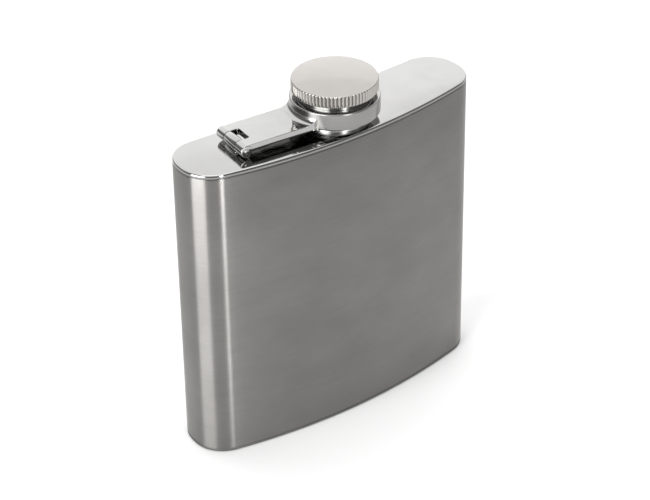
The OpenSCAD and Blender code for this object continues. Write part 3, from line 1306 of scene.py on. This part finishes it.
@dataclass
class Cap:
    """Fluted head, threaded insert, liner and the spring ring that keeps the cap in the collar."""

    datum: Datum
    head_r: float = 11.9 * MM
    head_bore_r: float = 11.1 * MM
    head_low: float = 8.9 * MM
    head_edge: float = 0.3 * MM
    rim: float = 12.3 * MM
    roof: float = 11.9 * MM
    dome_h: float = 0.85 * MM
    flutes: int = 70
    flute_depth: float = 0.5 * MM
    rim_edge: float = 0.45 * MM
    columns: int = 8
    waist_r: float = 10 * MM
    bore_r: float = 8.4 * MM
    insert_low: float = 2.2 * MM
    insert_flange: float = 9.1 * MM
    mouth: float = 0.3 * MM
    flange_ease: float = 0.2 * MM
    liner_low: float = 8.4 * MM
    liner_top: float = 9.6 * MM
    seat_r: float = 5.6 * MM
    seat_edge_r: float = 6 * MM
    seat_depth: float = 0.12 * MM
    groove_r: float = 9.6 * MM
    groove_low: float = 2.7 * MM
    groove_top: float = 3.4 * MM
    ring_r: float = 10.95 * MM
    ring_inner_r: float = 9.7 * MM
    ring_t: float = 0.5 * MM
    ring_opening: float = 3 * MM
    rib: float = 0.2 * MM
    rib_foot: float = 0.15 * MM
    rib_low: float = 1.3 * MM
    rib_turns: float = 2.6
    pitch: float = 1.6 * MM
    fit: float = 0.02 * MM
    warm: Finish = PolishedSteel("polished_cap", (0.35, 0.336, 0.318), (0.375, 0.362, 0.344), 0.06, 0.03)
    bush: Finish = TurnedSteel("insert_steel", (0.32, 0.32, 0.31), (0.4, 0.4, 0.39), 0.22)
    silicone: Finish = SoftLiner("liner_silicone", (0.62, 0.61, 0.57), (0.72, 0.71, 0.68))
    spring: Finish = TurnedSteel("spring_steel", (0.3, 0.3, 0.29), (0.38, 0.38, 0.37), 0.2)

    def flute(self, share: float) -> float:
        """Depth of a flute at a share of its pitch: 0 on the bar and 1 in the groove."""
        away = min(share, 1 - share) * 2
        return max(0.0, 1 - away / 0.9) ** 1.5

    def head_ring(self, radius: float, height: float, depth: float) -> list[Vector]:
        """A level ring of the head.

        Args:
            radius: its radius on the bars.
            height: its height.
            depth: depth of its flutes.

        Returns:
            Its points.
        """
        neck, count = self.datum.neck, self.flutes * self.columns
        ring = []
        for i in range(count):
            r = radius - depth * self.flute((i % self.columns) / self.columns)
            t = math.tau * i / count
            ring.append(Vector((neck.x + r * math.cos(t), neck.y + r * math.sin(t), neck.z + height)))
        return ring

    def head(self) -> None:
        """Draws the head from its roof, out under the rim, up the flutes and over the dome."""
        depth, r, e = self.flute_depth, self.head_r, self.rim_edge
        dome_r = (r * r + self.dome_h ** 2) / (2 * self.dome_h)
        crown = self.rim + self.dome_h - dome_r
        shoulder = crown + math.sqrt(dome_r ** 2 - (r - e) ** 2)
        levels = [
            (self.head_bore_r, self.roof, 0), (self.head_bore_r, self.head_low, 0),
            (r - self.head_edge, self.head_low, 0), (r - 0.08 * MM, self.head_low + 0.1 * MM, depth * 0.8),
            (r, self.head_low + self.head_edge, depth), (r, self.head_low + 1.3 * MM, depth),
            (r, shoulder - e - 0.15 * MM, depth),
        ]
        for i in range(8):
            turn = math.pi / 2 * i / 8
            inwards, down = e * (1 - math.cos(turn)), e * (1 - math.sin(turn))
            levels.append((r - inwards, shoulder - down, depth * max(0.0, 1 - i / 5)))
        for i in range(16):
            out = (r - e) * (1 - i / 16)
            levels.append((out, crown + math.sqrt(dome_r ** 2 - out ** 2), 0))
        rings = [self.head_ring(*level) for level in levels]
        head = tidy(lofted(rings, close=False), "cap_fluted", 46)
        finish_piece(head, self.warm, "cap", "polished_cap", "cap_head")

    def insert(self) -> None:
        """Spins the bush with the ring's groove, and adds its thread."""
        low, wall, e = self.insert_low, self.waist_r, 0.15 * MM
        profile = [
            (0, self.liner_top), (self.bore_r, self.liner_top), (self.bore_r, low + self.mouth),
            (self.bore_r + self.mouth, low), (wall - e, low), (wall, low + e), (wall, self.groove_low),
            (self.groove_r, self.groove_low), (self.groove_r, self.groove_top), (wall, self.groove_top),
            (wall, self.insert_flange - self.flange_ease), (wall + self.flange_ease, self.insert_flange),
            (self.head_bore_r - self.fit, self.insert_flange), (self.head_bore_r - self.fit, self.roof),
            (0, self.roof),
        ]
        bush = turned(profile, self.datum.neck, 144)
        rib = helix_rib(
            self.datum.neck, self.bore_r + self.rib_foot, self.bore_r - self.rib,
            low + self.rib_low, self.pitch, self.rib_turns,
        )
        combine(bush, rib, Join.UNITE)
        finish_piece(tidy(bush, "cap_bush", 35), self.bush, "cap", "insert_steel", "cap_insert")

    def liner(self) -> None:
        """Spins the sealing disc, with rounded edges and a shallow seat for the neck's lip."""
        r, low, high, e = self.bore_r - self.fit, self.liner_low, self.liner_top, 0.2 * MM
        seat = low + self.seat_depth
        profile = [(0, seat), (self.seat_r, seat), (self.seat_edge_r, low)]
        profile += arc_points((r - e, low + e), e, -90, 0, 4)
        profile += [(r, high), (0, high)]
        disc = tidy(turned(profile, self.datum.neck, 96), "liner_disc", 40)
        finish_piece(disc, self.silicone, "cap", "liner_silicone", "cap_liner")

    def spring_ring(self) -> None:
        """Spins the open ring from one end to the other."""
        low = self.groove_low + 0.1 * MM
        middle = (self.ring_r + self.ring_inner_r) / 2
        half_w, half_t, r = (self.ring_r - self.ring_inner_r) / 2, self.ring_t / 2, 0.12 * MM
        sides = ((-half_w, -half_t), (half_w, -half_t), (half_w, half_t), (-half_w, half_t))
        corners = [(x, z, r) for x, z in sides]
        profile = [(middle + x, low + half_t + z) for x, z in rounded_line(corners, 3)]
        gap = self.ring_opening / middle
        ring = turned(profile, self.datum.neck, 120, angle=math.tau - gap)
        turn_level(ring, self.datum.neck, -gap / 2)
        tidy(ring, "spring_ring", 40)
        finish_piece(ring, self.spring, "ring", "spring_steel", "retaining_ring")

    def build(self) -> None:
        """Makes and dresses the cap's pieces."""
        self.head()
        self.insert()
        self.liner()
        self.spring_ring()


# ---------------------------------------------------------------- camera, lights and floor


@dataclass(frozen=True)
class Softbox:
    """A rectangular light that faces a point."""

    name: str
    place: Triple
    aim: Triple
    size: Point
    power: float

    def build(self) -> None:
        """Sets the light up."""
        data = bpy.data.lights.new(self.name, "AREA")
        data.shape = "RECTANGLE"
        data.size, data.size_y = self.size
        data.energy = self.power
        light = bpy.data.objects.new(self.name, data)
        bpy.context.scene.collection.objects.link(light)
        away = Vector(self.place) - Vector(self.aim)
        light.rotation_euler = away.to_track_quat("Z", "Y").to_euler()
        light.location = self.place


@dataclass(frozen=True)
class Studio:
    """Pale floor, soft light and the camera."""

    focal: float = 127.37
    sensor: float = 36
    camera_place: Triple = (-0.32353, -0.43714, 0.39736)
    look_at: Triple = (-0.001628, 0.000786, 0.047979)
    roll: float = -0.894
    floor_size: float = 12
    floor_tone: float = 0.84
    room: float = 0.24
    screen: float = 1.7
    screen_low: float = 1.06
    screen_high: float = 0.97
    fall_start: float = 30
    fall_end: float = 34
    screen_at: Triple = (0.45, 0.6, 0.7)
    screen_half: float = 50
    screen_soft: float = 9
    lights: tuple[Softbox, ...] = (
        Softbox("overhead", (-0.17, -0.25, 1.5), (0, 0, 0), (1.2, 1.2), 7),
        Softbox("left_light", (-1.365, -0.28, 0.45), (0, 0, 0.05), (1.05, 1.0), 26),
        Softbox("front_strip", (-0.165, -1.39, 0.5), (0, 0, 0.05), (0.22, 1.0), 9),
    )

    def camera(self) -> None:
        """Sets the camera up."""
        data = bpy.data.cameras.new("camera")
        data.lens = self.focal
        data.sensor_width = self.sensor
        data.clip_start = 0.01
        eye = Vector(self.camera_place)
        away = eye - Vector(self.look_at)
        turn = away.to_track_quat("Z", "Y").to_matrix().to_4x4()
        camera = bpy.data.objects.new("camera", data)
        bpy.context.scene.collection.objects.link(camera)
        camera.matrix_world = turn
        camera.rotation_euler = turn.to_euler()
        camera.rotation_euler.rotate_axis("Z", math.radians(self.roll))
        camera.location = eye
        bpy.context.scene.camera = camera

    def floor(self) -> None:
        """A plain pale floor."""
        let_go()
        bpy.ops.mesh.primitive_plane_add(size=self.floor_size)
        floor = bpy.context.object
        floor.name = "floor"
        n = Nodes("floor_paper")
        n.shader.inputs["Base Color"].default_value = (self.floor_tone,) * 3 + (1,)
        n.set("Roughness", 0.9)
        n.set("Specular IOR Level", 0.0)
        floor.data.materials.append(n.material)

    def world(self) -> None:
        """A large bright screen behind and above the flask, in an otherwise dark room."""
        world = bpy.data.worlds.new("studio")
        bpy.context.scene.world = world
        world.use_nodes = True
        g = Graph(world.node_tree)
        place = g.add("ShaderNodeTexCoord").outputs["Generated"]
        toward = g.add("ShaderNodeVectorMath", operation="DOT_PRODUCT")
        toward.inputs[1].default_value = Vector(self.screen_at).normalized()
        g.link(place, toward.inputs[0])
        half, soft = self.screen_half, self.screen_soft
        outside, inside = (math.cos(math.radians(angle)) for angle in (half + soft, half - soft))
        edge = g.ramp(
            toward.outputs["Value"], (outside, self.room), (inside, self.screen),
            interpolation_type="SMOOTHSTEP",
        )
        height = g.add("ShaderNodeSeparateXYZ")
        g.link(place, height.inputs[0])
        fall = g.ramp(
            height.outputs["Z"],
            (math.sin(math.radians(self.fall_start)), self.screen_low),
            (math.sin(math.radians(self.fall_end)), self.screen_high),
            interpolation_type="SMOOTHSTEP",
        )
        background = g.add("ShaderNodeBackground")
        background.inputs["Color"].default_value = (1, 1, 1, 1)
        g.link(g.math("MULTIPLY", edge, fall), background.inputs["Strength"])
        g.link(background.outputs["Background"], g.add("ShaderNodeOutputWorld").inputs["Surface"])

    def build(self) -> None:
        """Sets the whole studio up."""
        bpy.context.scene.view_settings.view_transform = "Standard"
        self.camera()
        self.floor()
        self.world()
        for light in self.lights:
            light.build()


def main() -> None:
    """Builds every sub-assembly in order, then the studio."""
    datum = Datum.from_frame()
    FlaskBody(datum, Outline(front_y=datum.front_y)).build()
    NeckFitting(datum).build()
    Hinge(datum).build()
    Arm(datum).build()
    Cap(datum).build()
    Studio().build()


if __name__ == "__main__":
    main()
